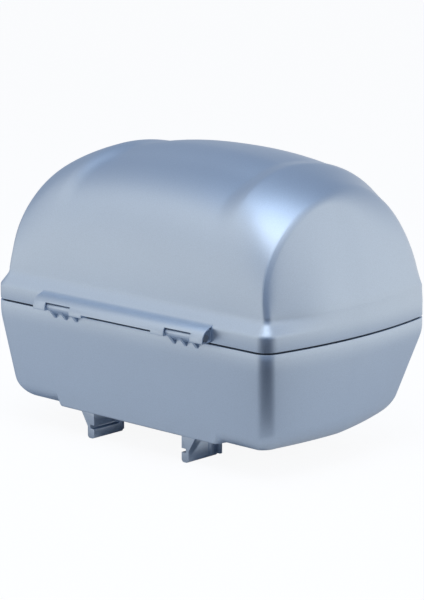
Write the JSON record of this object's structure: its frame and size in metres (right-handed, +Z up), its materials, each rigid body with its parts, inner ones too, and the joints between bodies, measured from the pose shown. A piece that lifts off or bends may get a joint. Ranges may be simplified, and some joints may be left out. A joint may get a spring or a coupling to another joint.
{
  "type": "motorcycle top case",
  "caption": "Hard motorcycle top case: silver vaulted lid on a long front hinge, tapered lower shell, hooked carrier feet, key lock with latch bolts and a fold-up carry handle.",
  "frame": {"origin": "middle of the bounding box, on the plane the feet stand on", "axes": "+X to the right end panel, -Y to the front with the hinge, +Z up"},
  "size_m": [0.5, 0.3328, 0.3679],
  "materials": {
    "painted_shell": "satin metallic silver-blue paint on moulded plastic",
    "foot_plastic": "silver-grey moulded plastic",
    "black_plastic": "fine-grained black moulded plastic",
    "plated_steel": "zinc-plated",
    "lock_chrome": "satin chrome",
    "spring_steel": "oiled spring wire",
    "seal_rubber": "matt rubber"
  },
  "bodies": {
    "base": {"base_shell": "painted_shell", "left_hinge_knuckle": "painted_shell", "right_hinge_knuckle": "painted_shell", "hinge_pin": "plated_steel", "hinge_pin_caps": "plated_steel", "left_foot": "foot_plastic", "right_foot": "foot_plastic", "foot_screws": "plated_steel", "foot_washers": "plated_steel", "lock_frame": "black_plastic", "lock_cover": "black_plastic", "lock_cover_screws": "plated_steel", "lock_sleeve": "lock_chrome", "lock_nut": "plated_steel", "handle_plate": "black_plastic", "handle_pins": "plated_steel", "frame_screws": "plated_steel", "carrier_block": "black_plastic", "carrier_cap": "black_plastic", "cap_screws": "plated_steel", "block_screws": "plated_steel", "plunger_spring": "spring_steel", "rear_buffers": "seal_rubber"},
    "lid": {"lid_shell": "painted_shell", "lid_seal": "seal_rubber", "hinge_hood": "painted_shell", "right_lid_catch": "black_plastic", "left_lid_catch": "black_plastic", "catch_screws": "plated_steel"},
    "lock": {"lock_barrel": "lock_chrome", "lock_disc": "plated_steel", "disc_screw": "plated_steel"},
    "right_bolt": {"right_latch_bolt": "plated_steel"},
    "left_bolt": {"left_latch_bolt": "plated_steel"},
    "handle": {"carry_handle": "black_plastic"},
    "plunger": {"carrier_plunger": "plated_steel", "plunger_knob": "black_plastic", "knob_pin": "plated_steel"}
  },
  "joints": [
    {"name": "lid_hinge", "type": "hinge", "parent": "base", "child": "lid", "pos_m": [0, -0.1585, 0.1705], "axis": [1, 0, 0], "range_deg": [0, 85]},
    {"name": "lock_turn", "type": "hinge", "parent": "base", "child": "lock", "pos_m": [0, 0.1313, 0.1175], "axis": [0, 1, 0], "range_deg": [0, 60]},
    {"name": "right_bolt_slide", "type": "slide", "parent": "base", "child": "right_bolt", "axis": [1, 0, 0], "range_m": [0, 0.0087]},
    {"name": "left_bolt_slide", "type": "slide", "parent": "base", "child": "left_bolt", "axis": [-1, 0, 0], "range_m": [0, 0.0087]},
    {"name": "handle_swing", "type": "hinge", "parent": "base", "child": "handle", "pos_m": [0, 0.1398, 0.1325], "axis": [1, 0, 0], "range_deg": [0, 100]},
    {"name": "plunger_slide", "type": "slide", "parent": "base", "child": "plunger", "axis": [0, 1, 0], "range_m": [0, 0.008], "stiffness_N_per_m": 1500, "springref_m": -0.006, "deforming": ["plunger_spring"]}
  ],
  "couplings": [
    {"joint": "right_bolt_slide", "follows": "lock_turn", "m_per_rad": 0.00827},
    {"joint": "left_bolt_slide", "follows": "lock_turn", "m_per_rad": 0.00827}
  ]
}
